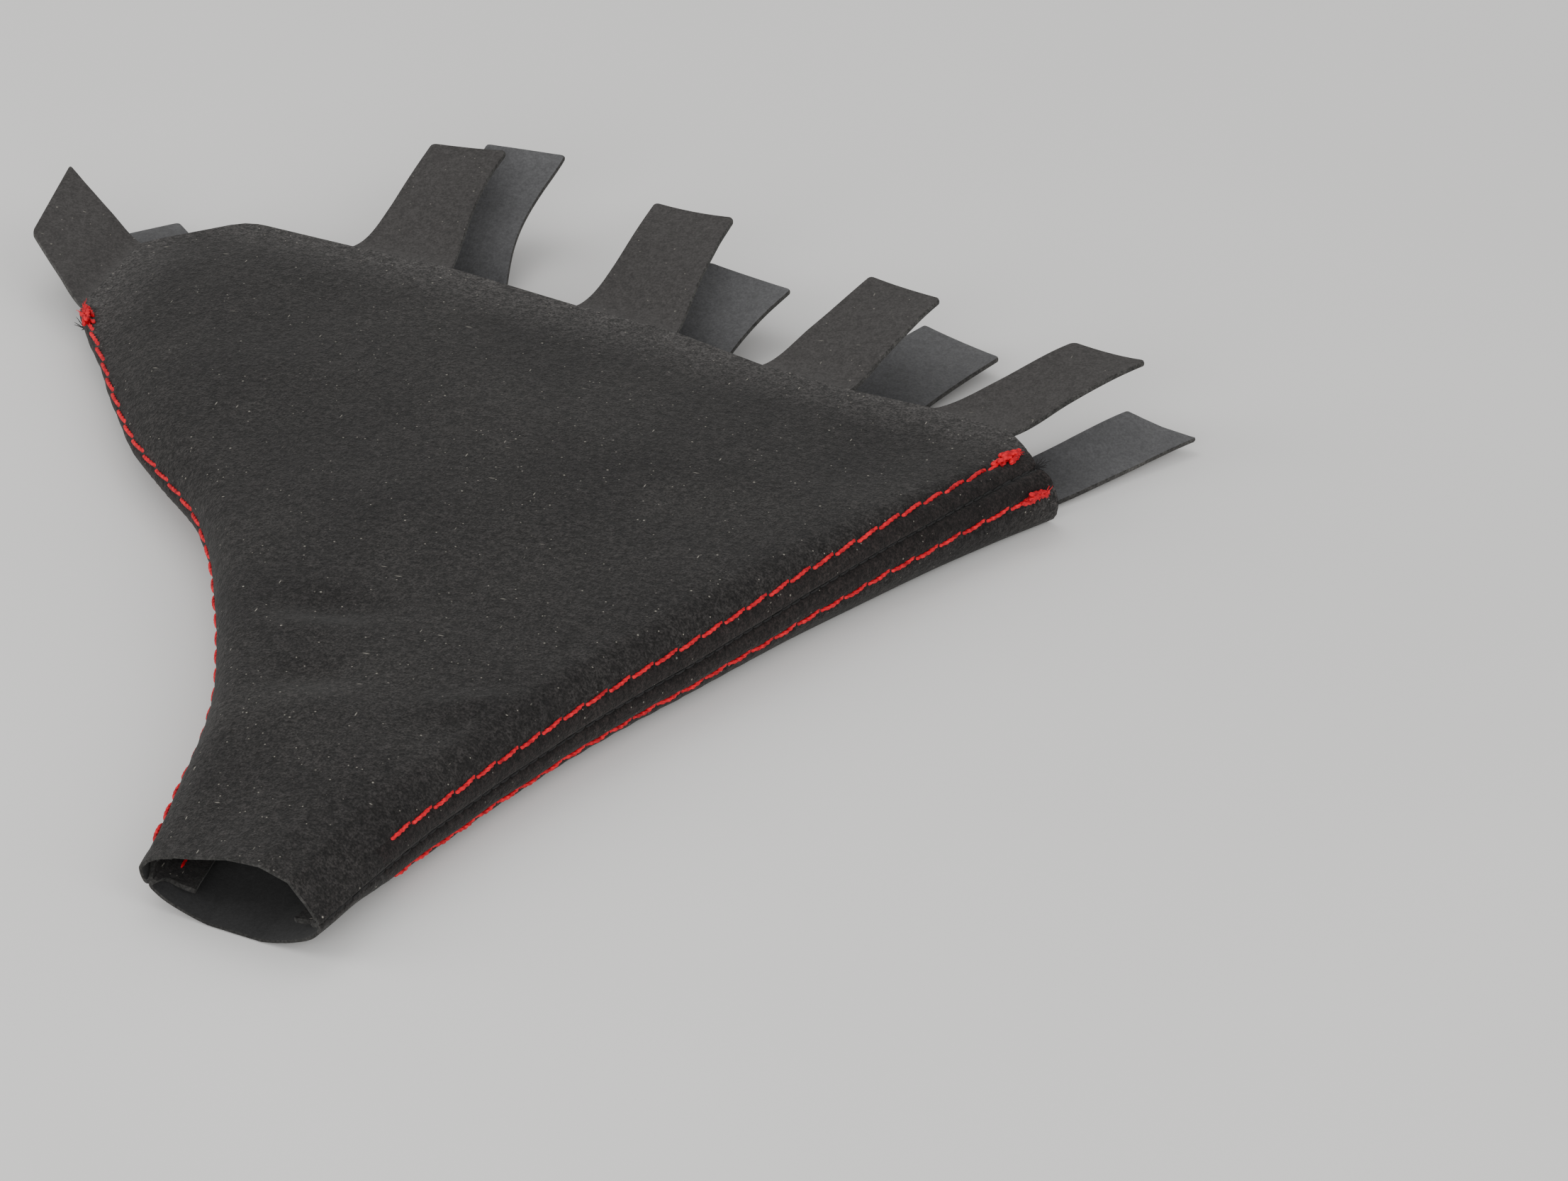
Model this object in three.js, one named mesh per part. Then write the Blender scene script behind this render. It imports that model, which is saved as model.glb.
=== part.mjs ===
// A gear-lever gaiter lying flat: a tapering suede sleeve of two panels, sewn
// along both edges, with five fixing tabs on the wide end of each panel.
// Millimetres, +Z up. The neck points to -Y, the wide mouth to +Y, and the
// back panel lies on z = 0.

import * as THREE from 'three';

// ---------------------------------------------------------------- dimensions

const SUEDE = 1.0;             // panel and tab thickness
const NEIGHBOUR_GAP = 0.3;     // clearance between touching pieces
const STITCH_PITCH = 7.0;      // length of one topstitch
const THREAD_RADIUS = 0.42;    // topstitch thread
const SEAM_THREAD_RADIUS = 0.3;
const ALLOWANCE_WIDTH = 9.0;   // turned-in edge behind each topstitch row
const EDGE_RADIUS = 7.0;       // plan radius of the rounded side edges
const TAB_TIP_WIDTH = 17.5;
const TAB_CORNER = 1.6;        // rounded tip corners
const FLARE_END = 0.35;        // share of a tab's length that its root flare takes
const FLARE_BEND = 0.14;       // share of its length where the flare's curve turns
const HINGE_GAP = 0.6;         // bending line between a panel and its tab
const TAB_INSET = 0.4;         // tab root stops this far inside its stretch of edge
const ROWS = 22;               // surface steps from neck to mouth
const MOUTH_FLARE = 4;         // how sharply the cut mouth departs from the sleeve
const ROW_OFFSET = 4.4;        // topstitch row to seam, along the surface
const LEFT_SEAM_ANGLE = 217;   // the left seam is rolled under the edge
const RIGHT_SEAM_TURN = 40;    // the right seam climbs the edge by this angle at the mouth
const SEAM_TURN_POWER = 2.6;
const SEAM_SPLIT = 3.2;        // angle from the seam line to each panel's edge
const TOP = 90;                // direction of the upper panel in a cross-section
const BOTTOM = 270;
const LEVEL_SHARES = [0.01, 0.97];  // the level part's first and last line, as shares of its width
const SEAM_LIFT = 2.2;         // the rolled-under left seam holds its edge off the floor
const SEAM_LIFT_SHARE = 0.16;  // share of the back panel's width that it lifts
const CENTRE = [12.9, -139.3];  // puts the origin under the middle of the part

// Outermost line of each side edge, neck to mouth: x, y and height.
const LEFT_EDGE = [
  [-19, 4, 8], [-21, 29, 9.5], [-25, 55, 11], [-36, 86, 12],
  [-54, 122, 11], [-80, 152, 9], [-101, 185, 8.7], [-112, 202, 8],
];
const RIGHT_EDGE = [
  [19, -4, 7.5], [27, 31, 7.5], [42, 75, 7.5], [56, 106, 7.5],
  [69, 135, 7.7], [84, 165, 8.5], [97, 190, 10],
];
// Height of the upper panel at the neck, along the sleeve and at the mouth.
const TOP_HEIGHTS = [15.5, 16.5, 17.5, 17.5, 16.5, 13.5];

// Cut edge of the front panel at the mouth, left to right; each tab is rooted
// on the stretch between its first and second corner.
const FRONT_MOUTH = [
  { x: -112, y: 204, z: 8, tab: 1 }, { x: -110, y: 232, z: 9.5 },
  { x: -91, y: 245, z: 11 },
  { x: -66, y: 240, z: 11.5, tab: 2 }, { x: -43, y: 236, z: 12 },
  { x: -13, y: 228, z: 12, tab: 3 }, { x: 10, y: 223, z: 12 },
  { x: 31, y: 214.5, z: 12.2, tab: 4 }, { x: 51, y: 209, z: 12.6 },
  { x: 69.5, y: 206, z: 13, tab: 5 }, { x: 87.5, y: 199, z: 14 },
];
const BACK_MOUTH = [
  { x: -105, y: 222, z: 1.6, tab: 1 }, { x: -95, y: 240, z: 1.2 },
  { x: -80, y: 245, z: 0.4 },
  { x: -54, y: 245, z: 0, tab: 2 }, { x: -34, y: 241, z: 0 },
  { x: -4, y: 226, z: 0, tab: 3 }, { x: 17, y: 219, z: 0 },
  { x: 38, y: 219, z: 0, tab: 4 }, { x: 58, y: 213, z: 0 },
  { x: 80, y: 200, z: 0, tab: 5 }, { x: 94, y: 192, z: 0 },
];

// How each tab lies: length, rise from level and lean to the right of square.
const FRONT_TABS = {
  1: { length: 25.5, rise: 17, lean: 31, tip: 23.5 },
  2: { length: 36.5, rise: 14, lean: -6 },
  3: { length: 37.5, rise: 11.5, lean: -7 },
  4: { length: 34.5, rise: 10, lean: 4 },
  5: { length: 34, rise: 8.5, lean: 14 },
};
const BACK_TABS = {
  1: { length: 24, rise: 3, lean: 15 },
  2: { length: 42, rise: 22, lean: -9 },
  3: { length: 34.5, rise: 12.5, lean: -2 },
  4: { length: 36, rise: 4, lean: 5 },
  5: { length: 38.5, rise: 3, lean: -1, tip: 15 },
};

// ----------------------------------------------------------------- materials

const suede = () => new THREE.MeshStandardMaterial({ color: 0x3a3836, roughness: 0.95 });
const redThread = () => new THREE.MeshStandardMaterial({ color: 0xe12d30, roughness: 0.6 });
const blackThread = () => new THREE.MeshStandardMaterial({ color: 0x161616, roughness: 0.7 });

const group = new THREE.Group();

function addPiece(name, geometry, material) {
  const mesh = new THREE.Mesh(geometry, material);
  mesh.name = name;
  group.add(mesh);
  return mesh;
}

// ---------------------------------------------------------- sleeve surface

const asCurve = (points) => new THREE.CatmullRomCurve3(points.map((at) => new THREE.Vector3(...at)));
const leftEdge = asCurve(LEFT_EDGE);
const rightEdge = asCurve(RIGHT_EDGE);

function topHeight(v) {
  const at = v * (TOP_HEIGHTS.length - 1);
  const low = Math.min(Math.floor(at), TOP_HEIGHTS.length - 2);
  return THREE.MathUtils.lerp(TOP_HEIGHTS[low], TOP_HEIGHTS[low + 1], at - low);
}

// The right seam's climb at v: angle 0 moves up to it, and the top and bottom stay.
function turnedAngle(angle, v) {
  const climb = RIGHT_SEAM_TURN * v ** SEAM_TURN_POWER;
  if (angle <= TOP) return climb + angle * (1 - climb / TOP);
  return BOTTOM + (angle - BOTTOM) * (1 + climb / TOP);
}

// A point of the closed cross-section at v (0 neck, 1 mouth). Angles run round
// the rounded edges: 0 faces right, 90 up, 180 left, 270 down.
function roundPoint(side, angle, v) {
  const left = leftEdge.getPointAt(v);
  const right = rightEdge.getPointAt(v);
  const across = new THREE.Vector3(right.x - left.x, right.y - left.y, 0).normalize();
  const turn = THREE.MathUtils.degToRad(side === 'left' ? angle : turnedAngle(angle, v));
  const outermost = side === 'left' ? left : right;
  const inward = side === 'left' ? EDGE_RADIUS : -EDGE_RADIUS;
  const rise = Math.sin(turn);
  const floor = side === 'left' ? SEAM_LIFT : 0;
  const reach = rise > 0 ? topHeight(v) - outermost.z : outermost.z - floor;
  return outermost.clone()
    .addScaledVector(across, inward + EDGE_RADIUS * Math.cos(turn))
    .setZ(outermost.z + reach * rise);
}

// One lengthwise line of a panel: on a rounded edge it has an angle, on the
// level part it has a share of the way from the left edge to the right one.
function linePoint(line, facing, v) {
  if (line.share === undefined) return roundPoint(line.side, line.angle, v);
  const from = roundPoint('left', facing, v);
  const to = roundPoint('right', facing, v);
  const point = from.clone().lerp(to, line.share);
  if (facing === BOTTOM) point.z = from.z * Math.max(0, 1 - line.share / SEAM_LIFT_SHARE);
  return point;
}

// A panel's lines, left seam to right seam, with their points on the cut mouth.
// The first and last line lie just past the seams, and only steer the normals.
function panelLines(mouth, facing, leftAngles, rightAngles) {
  const from = roundPoint('left', facing, 1);
  const to = roundPoint('right', facing, 1);
  const lines = leftAngles.map((angle) => ({ side: 'left', angle }));
  lines[3].corner = mouth[0];
  for (const [index, corner] of mouth.slice(1).entries()) {
    const share = THREE.MathUtils.clamp((corner.x - from.x) / (to.x - from.x), ...LEVEL_SHARES);
    const before = lines[lines.length - 1].share;
    if (index > 0) lines.push({ share: (before + share) / 2 });
    lines.push({ share, corner });
  }
  lines.push(...rightAngles.map((angle) => ({ side: 'right', angle })));
  return lines.map((line) => ({ ...line, facing }));
}

// The mouth moves each line's end by this much. The cut is straight between
// corners, and keeps the rounded edges' own shape from there to the seams.
function fitMouth(lines) {
  const seamEnd = (index) => ({ index, point: linePoint(lines[index], lines[index].facing, 1) });
  const first = seamEnd(1);
  const last = seamEnd(lines.length - 2);
  const fixed = [first];
  lines.forEach((line, index) => {
    if (!line.corner) return;
    const { x, y, z } = line.corner;
    fixed.push({ index, point: new THREE.Vector3(x, y, z) });
  });
  fixed.push(last);
  lines.forEach((line, index) => {
    line.shift = new THREE.Vector3();
    if (index < first.index || index > last.index) return;
    const next = fixed.findIndex((end) => end.index >= index && end !== first);
    const a = fixed[next - 1];
    const b = fixed[next];
    const step = (index - a.index) / (b.index - a.index);
    const base = linePoint(line, line.facing, 1);
    if (a !== first && b !== last) {
      line.shift = a.point.clone().lerp(b.point, step).sub(base);
    } else {
      const corner = a === first ? b : a;
      const share = a === first ? step : 1 - step;
      const shift = corner.point.clone().sub(linePoint(lines[corner.index], line.facing, 1));
      line.shift = shift.multiplyScalar(share);
    }
  });
  return lines;
}

// Front panel: from the left seam over the top to the right seam. Back panel:
// the rest of the way round. The mouth's first corner ends each one's fourth line.
const FRONT = fitMouth(panelLines(
  FRONT_MOUTH, TOP,
  [236, LEFT_SEAM_ANGLE - SEAM_SPLIT, 196, 180, 150, 122],
  [72, 48, 24, SEAM_SPLIT, -22],
));
const BACK = fitMouth(panelLines(
  BACK_MOUTH, BOTTOM,
  [193, LEFT_SEAM_ANGLE + SEAM_SPLIT, 244, 265],
  [288, 312, 336, 360 - SEAM_SPLIT, 382],
));

// Outer surface of a panel at line number u (fractions lie between lines).
function surfacePoint(lines, u, v) {
  const low = THREE.MathUtils.clamp(Math.floor(u), 0, lines.length - 2);
  const ends = [lines[low], lines[low + 1]].map((line) => (
    linePoint(line, line.facing, v).addScaledVector(line.shift, v ** MOUTH_FLARE)
  ));
  return ends[0].lerp(ends[1], u - low);
}

// Unit normal pointing out of the sleeve.
function surfaceNormal(lines, u, v) {
  const clampU = (value) => THREE.MathUtils.clamp(value, 0, lines.length - 1);
  const clampV = (value) => THREE.MathUtils.clamp(value, 0, 1);
  const across = surfacePoint(lines, clampU(u + 0.5), v).sub(surfacePoint(lines, clampU(u - 0.5), v));
  const along = surfacePoint(lines, u, clampV(v + 0.01)).sub(surfacePoint(lines, u, clampV(v - 0.01)));
  const normal = across.cross(along).normalize();
  return lines === BACK ? normal.negate() : normal;
}

// ------------------------------------------------------------ closed solids

function solidFromTriangles(positions, triangles) {
  const geometry = new THREE.BufferGeometry();
  geometry.setAttribute('position', new THREE.Float32BufferAttribute(positions, 3));
  geometry.setIndex(triangles);
  geometry.computeVertexNormals();
  return geometry;
}

// A sheet of the sleeve between two depths under its outer surface. Each
// column is a function that gives its line number at v.
function sheetSolid(lines, columns, vs, outerDepth, innerDepth) {
  const positions = [];
  for (const depth of [outerDepth, innerDepth]) {
    for (const v of vs) {
      for (const column of columns) {
        const u = column(v);
        const normal = surfaceNormal(lines, u, v);
        const point = surfacePoint(lines, u, v).addScaledVector(normal, -depth);
        positions.push(point.x, point.y, point.z);
      }
    }
  }
  const wide = columns.length;
  const layer = wide * vs.length;
  const flip = lines === BACK;
  const triangles = [];
  const quad = (a, b, c, d) => {
    triangles.push(...(flip ? [a, c, b, a, d, c] : [a, b, c, a, c, d]));
  };
  for (let row = 0; row < vs.length - 1; row++) {
    for (let col = 0; col < wide - 1; col++) {
      const at = row * wide + col;
      quad(at, at + 1, at + wide + 1, at + wide);
      quad(layer + at, layer + at + wide, layer + at + wide + 1, layer + at + 1);
    }
    const left = row * wide;
    const right = left + wide - 1;
    quad(left, left + wide, layer + left + wide, layer + left);
    quad(right, layer + right, layer + right + wide, right + wide);
  }
  for (let col = 0; col < wide - 1; col++) {
    const far = (vs.length - 1) * wide + col;
    quad(col, layer + col, layer + col + 1, col + 1);
    quad(far, far + 1, layer + far + 1, layer + far);
  }
  return solidFromTriangles(positions, triangles);
}

// A thread through the given points, with one normal for each point.
function threadSolid(points, normals, radius) {
  const SIDES = 6;
  const positions = [];
  points.forEach((point, index) => {
    const before = points[Math.max(index - 1, 0)];
    const after = points[Math.min(index + 1, points.length - 1)];
    const along = after.clone().sub(before).normalize();
    const side = along.clone().cross(normals[index]).normalize();
    const up = side.clone().cross(along);
    for (let k = 0; k < SIDES; k++) {
      const turn = (2 * Math.PI * k) / SIDES;
      const corner = point.clone()
        .addScaledVector(up, radius * Math.cos(turn))
        .addScaledVector(side, radius * Math.sin(turn));
      positions.push(corner.x, corner.y, corner.z);
    }
  });
  const triangles = [];
  for (let ring = 0; ring < points.length - 1; ring++) {
    for (let k = 0; k < SIDES; k++) {
      const a = ring * SIDES + k;
      const b = ring * SIDES + (k + 1) % SIDES;
      triangles.push(a, b, b + SIDES, a, b + SIDES, a + SIDES);
    }
  }
  const end = (points.length - 1) * SIDES;
  for (let k = 1; k < SIDES - 1; k++) {
    triangles.push(0, k + 1, k);
    triangles.push(end, end + k, end + k + 1);
  }
  return solidFromTriangles(positions, triangles);
}

// ------------------------------------------------------------------- panels

const steps = (count, from, to) => (
  Array.from({ length: count + 1 }, (_, index) => from + ((to - from) * index) / count)
);
const everyLine = (lines) => steps(lines.length - 3, 1, lines.length - 2).map((u) => () => u);

addPiece('front_panel', sheetSolid(FRONT, everyLine(FRONT), steps(ROWS, 0, 1), 0, SUEDE), suede());
addPiece('back_panel', sheetSolid(BACK, everyLine(BACK), steps(ROWS, 0, 1), 0, SUEDE), suede());

// ------------------------------------------- seams: allowances and threads

const SEAM_LENGTH = (leftEdge.getLength() + rightEdge.getLength()) / 2;
const SEAM_INSET = 1.3;        // each allowance's fold stays this far from the seam
const ALLOWANCE_FROM = 0.01;
const ALLOWANCE_TO = 0.95;

// The line number that lies a given distance from a seam at v.
function lineAtDistance(lines, fromRight, distance, v) {
  const direction = fromRight ? -1 : 1;
  let u = fromRight ? lines.length - 2 : 1;
  let left = distance;
  for (let span = 0; span < lines.length - 1; span++) {
    const length = surfacePoint(lines, u, v).distanceTo(surfacePoint(lines, u + direction, v));
    if (length >= left) return u + direction * (left / length);
    left -= length;
    u += direction;
  }
  return u;
}

// A row of stitches along a seam: low at each needle hole, high between them.
// lift is the height of the thread's centre over the outer surface.
function stitchRow({ lines, fromRight, distance, from, to, low, high, radius }) {
  const stitches = Math.round(((to - from) * SEAM_LENGTH) / STITCH_PITCH);
  const points = [];
  const normals = [];
  for (const [index, v] of steps(2 * stitches, from, to).entries()) {
    const u = lineAtDistance(lines, fromRight, distance, v);
    const normal = surfaceNormal(lines, u, v);
    const lift = index % 2 === 0 ? low : high;
    points.push(surfacePoint(lines, u, v).addScaledVector(normal, lift));
    normals.push(normal);
  }
  return threadSolid(points, normals, radius);
}

const ON_FACE = { low: THREAD_RADIUS + 0.2, high: THREAD_RADIUS + 0.5, radius: THREAD_RADIUS };
const UNDER_LAYERS = 2 * SUEDE + 2 * NEIGHBOUR_GAP + SEAM_THREAD_RADIUS;
const BEHIND = {
  low: -UNDER_LAYERS - 0.4,
  high: -UNDER_LAYERS - 0.52,
  radius: SEAM_THREAD_RADIUS,
};
const ON_SEAM = {
  low: SEAM_THREAD_RADIUS + 0.15,
  high: SEAM_THREAD_RADIUS + 0.3,
  radius: SEAM_THREAD_RADIUS,
};

const ROW_START = { left: 0.015, right: 0.1 };  // the right rows stop short of the neck
const ROW_END = 0.955;
const BOBBIN_END = 0.91;
const KNOT = { length: 7, width: 1.9, height: 1.3 };

function addSeamSide(side, face) {
  const lines = face === 'front' ? FRONT : BACK;
  const fromRight = side === 'right';
  const place = `${side}_${face}`;
  const columns = steps(6, SEAM_INSET, ALLOWANCE_WIDTH).map((distance) => (
    (v) => lineAtDistance(lines, fromRight, distance, v)
  ));
  if (fromRight) columns.reverse();
  addPiece(
    `${place}_allowance`,
    sheetSolid(
      lines,
      columns,
      steps(ROWS, ALLOWANCE_FROM, ALLOWANCE_TO),
      SUEDE + NEIGHBOUR_GAP,
      2 * SUEDE + NEIGHBOUR_GAP,
    ),
    suede(),
  );
  const row = { lines, fromRight, distance: ROW_OFFSET, from: ROW_START[side], to: ROW_END };
  addPiece(`${place}_topstitch`, stitchRow({ ...row, ...ON_FACE }), redThread());
  addPiece(`${place}_bobbin_thread`, stitchRow({ ...row, ...BEHIND, to: BOBBIN_END }), redThread());

  const v = ROW_END + (KNOT.length / 2 + THREAD_RADIUS) / SEAM_LENGTH + 0.003;
  const u = lineAtDistance(lines, fromRight, ROW_OFFSET, v);
  const normal = surfaceNormal(lines, u, v);
  const along = surfacePoint(lines, u, v).sub(surfacePoint(lines, u, v - 0.02)).normalize();
  const knot = addPiece(`${place}_back_tack`, new THREE.SphereGeometry(0.5, 8, 6), redThread());
  const lateral = normal.clone().cross(along).normalize();
  const basis = new THREE.Matrix4().makeBasis(along, lateral, normal);
  knot.quaternion.setFromRotationMatrix(basis);
  knot.scale.set(KNOT.length, KNOT.width, KNOT.height);
  knot.position.copy(surfacePoint(lines, u, v)).addScaledVector(normal, KNOT.height / 2 + NEIGHBOUR_GAP);
}

for (const side of ['left', 'right']) {
  addSeamSide(side, 'front');
  addSeamSide(side, 'back');
  const row = { lines: FRONT, fromRight: side === 'right', distance: 0, from: 0.01, to: 0.985 };
  addPiece(`${side}_seam_thread`, stitchRow({ ...row, ...ON_SEAM }), blackThread());
}

// --------------------------------------------------------------------- tabs

// A flat tab in its own plane: root along X, length along Y, flared at the root.
function tabOutline(rootWidth, { length, lean, tip = TAB_TIP_WIDTH }) {
  const turn = THREE.MathUtils.degToRad(lean);
  const ahead = new THREE.Vector2(Math.sin(turn), Math.cos(turn));
  const sideways = new THREE.Vector2(Math.cos(turn), -Math.sin(turn));
  const at = (along, across) => (
    ahead.clone().multiplyScalar(along).addScaledVector(sideways, across)
  );
  const rootY = HINGE_GAP / 2;
  const halfRoot = rootWidth / 2 - TAB_INSET;
  const halfTip = tip / 2;
  const shape = new THREE.Shape();
  shape.moveTo(-halfRoot, rootY);
  shape.lineTo(halfRoot, rootY);
  const rightSide = at(length * FLARE_END, halfTip);
  const rightBend = at(length * FLARE_BEND, halfTip);
  shape.quadraticCurveTo(rightBend.x, Math.max(rightBend.y, rootY), rightSide.x, rightSide.y);
  const [right, left] = [1, -1].map((sign) => ({
    beforeTip: at(length - TAB_CORNER, sign * halfTip),
    corner: at(length, sign * halfTip),
    onTip: at(length, sign * (halfTip - TAB_CORNER)),
  }));
  shape.lineTo(right.beforeTip.x, right.beforeTip.y);
  shape.quadraticCurveTo(right.corner.x, right.corner.y, right.onTip.x, right.onTip.y);
  shape.lineTo(left.onTip.x, left.onTip.y);
  shape.quadraticCurveTo(left.corner.x, left.corner.y, left.beforeTip.x, left.beforeTip.y);
  const leftSide = at(length * FLARE_END, -halfTip);
  const leftBend = at(length * FLARE_BEND, -halfTip);
  shape.lineTo(leftSide.x, leftSide.y);
  shape.quadraticCurveTo(leftBend.x, Math.max(leftBend.y, rootY), -halfRoot, rootY);
  return shape;
}

// Tabs bend about the outer face of the sleeve, so a front tab's suede hangs
// below its hinge line and a back tab's stands above it.
function addTabs(prefix, mouth, tabs, outerFaceUp) {
  mouth.forEach((root, index) => {
    if (!root.tab) return;
    const far = mouth[index + 1];
    const rootLine = new THREE.Vector3(far.x - root.x, far.y - root.y, far.z - root.z);
    const rootWidth = rootLine.length();
    const xAxis = rootLine.clone().normalize();
    const outward = new THREE.Vector3(-xAxis.y, xAxis.x, 0).normalize();
    const zLevel = xAxis.clone().cross(outward);
    const rise = THREE.MathUtils.degToRad(tabs[root.tab].rise);
    const yAxis = outward.clone().multiplyScalar(Math.cos(rise)).addScaledVector(zLevel, Math.sin(rise));
    const zAxis = xAxis.clone().cross(yAxis);
    const outline = tabOutline(rootWidth, tabs[root.tab]);
    const geometry = new THREE.ExtrudeGeometry(outline, {
      depth: SUEDE,
      bevelEnabled: false,
      curveSegments: 4,
    });
    geometry.translate(0, 0, outerFaceUp ? -SUEDE : 0);
    const mesh = addPiece(`${prefix}_tab_${root.tab}`, geometry, suede());
    mesh.quaternion.setFromRotationMatrix(new THREE.Matrix4().makeBasis(xAxis, yAxis, zAxis));
    mesh.position.set(root.x, root.y, root.z)
      .addScaledVector(rootLine, 0.5)
      .addScaledVector(outward, HINGE_GAP / 2);
  });
}

addTabs('front', FRONT_MOUTH, FRONT_TABS, true);
addTabs('back', BACK_MOUTH, BACK_TABS, false);

group.position.set(CENTRE[0], CENTRE[1], 0);

export default group;
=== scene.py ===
import math

import bpy
import numpy as np
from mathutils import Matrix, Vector


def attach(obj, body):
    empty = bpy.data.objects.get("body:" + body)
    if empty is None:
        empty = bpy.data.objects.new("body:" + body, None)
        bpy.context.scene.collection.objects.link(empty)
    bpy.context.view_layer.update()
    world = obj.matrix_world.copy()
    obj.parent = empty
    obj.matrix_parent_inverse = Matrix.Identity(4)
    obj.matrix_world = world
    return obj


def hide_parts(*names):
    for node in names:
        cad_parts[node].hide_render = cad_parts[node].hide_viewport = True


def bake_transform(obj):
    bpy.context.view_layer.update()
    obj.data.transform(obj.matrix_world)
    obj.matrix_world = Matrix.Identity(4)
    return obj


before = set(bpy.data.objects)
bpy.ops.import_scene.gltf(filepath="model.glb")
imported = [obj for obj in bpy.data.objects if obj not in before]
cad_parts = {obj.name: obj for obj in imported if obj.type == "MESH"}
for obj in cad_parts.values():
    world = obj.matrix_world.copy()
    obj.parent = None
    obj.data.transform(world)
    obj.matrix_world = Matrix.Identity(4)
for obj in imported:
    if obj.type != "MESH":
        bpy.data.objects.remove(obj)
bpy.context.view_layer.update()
rng = np.random.default_rng(7)

# Work is in millimetres with the neck at the origin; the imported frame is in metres.
CENTRE = np.array([12.9, -139.3, 0.0])
MM = 0.001


def to_frame(points):
    """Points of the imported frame."""
    return (np.asarray(points, float) + CENTRE) * MM


# ------------------------------------------------------------------ dimensions

# The sleeve's left and right edge from neck to mouth, and the height of its top from neck to mouth.
LEFT_EDGE = [
    (-19, 4, 8), (-21, 29, 9.5), (-25, 55, 11), (-36, 86, 12),
    (-54, 122, 11), (-80, 152, 9), (-101, 185, 8.7), (-112, 202, 8),
]
RIGHT_EDGE = [
    (19, -4, 7.5), (27, 31, 7.5), (42, 75, 7.5), (56, 106, 7.5),
    (69, 135, 7.7), (84, 165, 8.5), (97, 190, 10),
]
TOP_HEIGHTS = [15.5, 16.5, 17.5, 17.5, 16.5, 13.5]
EDGE_RADIUS = 7.0
# Angles round an edge: the top, the bottom and the left seam. Each panel runs a little past its seams.
TOP, BOTTOM, LEFT_SEAM = 90, 270, 217.0
FRONT_ROUND = (250, -22)
BACK_ROUND = (206, 382)
# How far the right seam climbs towards the mouth, and how the back rises to the left seam.
RIGHT_SEAM_TURN = 40.0
SEAM_TURN_POWER = 2.6
SEAM_LIFT = 2.2
SEAM_LIFT_SHARE = 0.16
SUEDE = 1.0
FOLD_RADIUS = 1.05
ALLOWANCE = 9.5
ROW_OFFSET = 4.4
PITCH = 7.0
SEAM_LENGTH = 230.0
# How far the front bulges, over what share of its length the neck's own shape fades, and the floor's gap.
CROWN = 1.6
NECK_FADE = 0.2
FLOOR_GAP = 0.06
COLUMN_STEP = 2.4
# Distances from a seam at which a panel has a column of points, from its fold to the turned-in edge's end.
NEAR_SEAM = [FOLD_RADIUS, 1.4, 1.9, 2.5, 3.1, 3.6, 3.95, 4.2, 4.4, 4.6, 5.0, 5.5, 6.2, 7.0, 8.2]
TURNED_IN = [ALLOWANCE, 8.9, 8.2, 7.4, 6.7, 5.8, 4.8, 3.8, 2.8, 1.9]
# How far up the seam the turned-in edges start, how loose they hang there and how thin the neck's rim is cut.
NECK_RECESS = 0.016
LOOSE_AT_NECK = 1.3
RIM_THINNED = 0.4

# Corners of the mouth from left to right: both ends of each tab's root, and the peak.
FRONT_MOUTH = [
    (-112, 204, 8), (-110, 232, 9.5), (-91, 245, 11), (-66, 240, 11.5), (-43, 236, 12), (-13, 228, 12),
    (10, 223, 12), (31, 214.5, 12.2), (51, 209, 12.6), (69.5, 206, 13), (87.5, 199, 14),
]
BACK_MOUTH = [
    (-105, 222, 1.6), (-95, 240, 1.2), (-80, 245, 0.4), (-54, 245, 0), (-34, 241, 0), (-4, 226, 0),
    (17, 219, 0), (38, 219, 0), (58, 213, 0), (80, 200, 0), (94, 192, 0),
]
# How far from the left seam the first corner is.
FRONT_FIRST_CORNER, BACK_FIRST_CORNER = 5.0, 5.5
# The shares of the level part across the mouth that corners keep to.
LEVEL_SHARES = (0.01, 0.97)
# The mouth's corner between the first two tabs, and the share of each side that its rounding takes.
PEAK = 2
PEAK_ROUNDING = 0.16
PEAK_STEPS = 9
TAB_CORNERS = {1: 0, 2: 3, 3: 5, 4: 7, 5: 9}

# Left and right corner of each tab's tip, how much it curls across and along, and its sideways bow.
FRONT_TIPS = {
    1: ((-130.3, 223.3, 13), (-131.4, 246.8, 17), 0.1, 0.3, 0.0),
    2: ((-60.5, 273.4, 20), (-44.1, 273.5, 21), 0.2, 0.6, -0.6),
    3: ((-8, 263.5, 19), (10.2, 259.9, 20), 0.3, 1.0, 0.0),
    4: ((43.5, 247.3, 18), (60.6, 239.8, 19), 0.3, 1.4, 0.3),
    5: ((90.8, 231.6, 18), (107, 227, 19), 0.3, 2.0, 0.6),
}
BACK_TIPS = {
    1: ((-123.2, 242.4, 2), (-110.6, 254.5, 2), 0.1, 0.3, 0.0),
    2: ((-51.2, 282, 17), (-33.7, 281.8, 17), 0.3, -1.5, -3.2),
    3: ((6.3, 256.8, 10), (25.4, 251.8, 9), 0.4, 1.2, -1.4),
    4: ((53.2, 254.2, 4), (71.2, 247.1, 3), 0.4, 1.0, -0.6),
    5: ((103, 228.8, 5), (117.5, 228.4, 1.5), 0.9, 2.0, 0.8),
}
TIP_CORNER = 0.9
# A tab whose tip is at least this wide each side of its middle has straight sides.
STRAIGHT_SIDED = 10


# -------------------------------------------------------------- sleeve surface

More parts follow.
